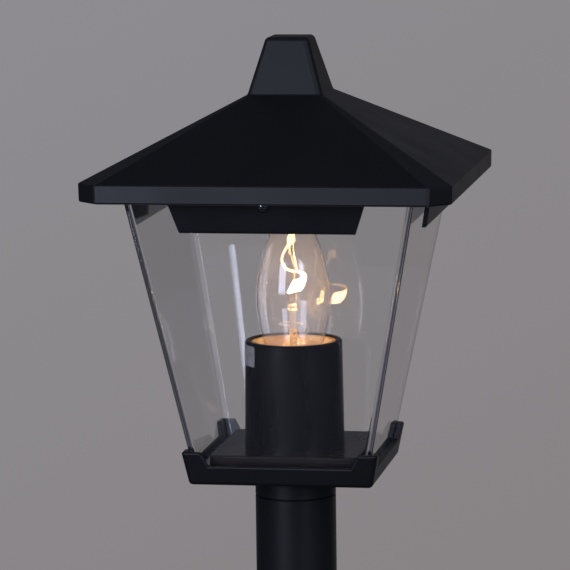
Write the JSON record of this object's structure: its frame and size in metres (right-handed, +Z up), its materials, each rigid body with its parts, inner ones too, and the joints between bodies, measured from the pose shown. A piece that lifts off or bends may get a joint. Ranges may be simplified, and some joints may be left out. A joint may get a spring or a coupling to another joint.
{
  "type": "garden post lamp",
  "caption": "Black garden post lamp: hipped roof with a chimney finial over a clear tapered square shade, an eared tray, a candle bulb in a sleeve and a round post on a bolted foot.",
  "frame": {"origin": "middle of the underside of the round foot, on the post's axis", "axes": "+Z up along the post towards the finial; -Y is the front that faces the viewer; +X is the viewer's right"},
  "size_m": [0.17, 0.17, 0.8011],
  "materials": {
    "cast_black": "satin black powder coat on die-cast aluminium",
    "post_black": "satin black powder coat on drawn aluminium tube",
    "sleeve_black": "satin black moulded plastic",
    "clear_shade": "clear moulded plastic, polished",
    "seal_rubber": "matt grey silicone sheet",
    "steel": "zinc-plated steel",
    "ceramic": "cream glazed ceramic",
    "brass": "plain brass",
    "lead_brown": "brown silicone insulation",
    "lead_blue": "blue silicone insulation",
    "lead_green": "green and yellow silicone insulation",
    "terminal_white": "natural moulded plastic",
    "bulb_glass": "clear thin blown glass",
    "cap_nickel": "nickel-plated brass",
    "insulator_black": "black vitreous insulator",
    "support_wire": "drawn wire"
  },
  "bodies": {
    "lamp": {"base_flange": "cast_black", "base_set_screws": "steel", "post_tube": "post_black", "head_screws": "steel", "tray": "cast_black", "shade_seal": "seal_rubber", "shade": "clear_shade", "platform": "cast_black", "nipple": "steel", "nipple_washer": "steel", "nipple_nut": "steel", "lamp_sleeve": "sleeve_black", "holder_bracket": "steel", "lampholder_body": "ceramic", "holder_screws": "steel", "neutral_strip": "brass", "lampholder_shell": "brass", "centre_contact": "brass", "live_lead": "lead_brown", "neutral_lead": "lead_blue", "earth_screw": "steel", "earth_lug": "brass", "earth_lead": "lead_green", "terminal_block": "terminal_white", "terminal_screws": "brass", "roof": "cast_black", "roof_screws": "steel"},
    "bulb": {"bulb_glass": "bulb_glass", "bulb_cap": "cap_nickel", "bulb_insulator": "insulator_black", "bulb_contact": "cap_nickel", "bulb_stem": "bulb_glass", "bulb_supports": "support_wire", "bulb_filament": "support_wire"}
  },
  "joints": [
    {"name": "bulb_turn", "type": "hinge", "parent": "lamp", "child": "bulb", "pos_m": [0, 0, 0.64], "axis": [0, 0, 1], "range_deg": [0, 900]}
  ]
}
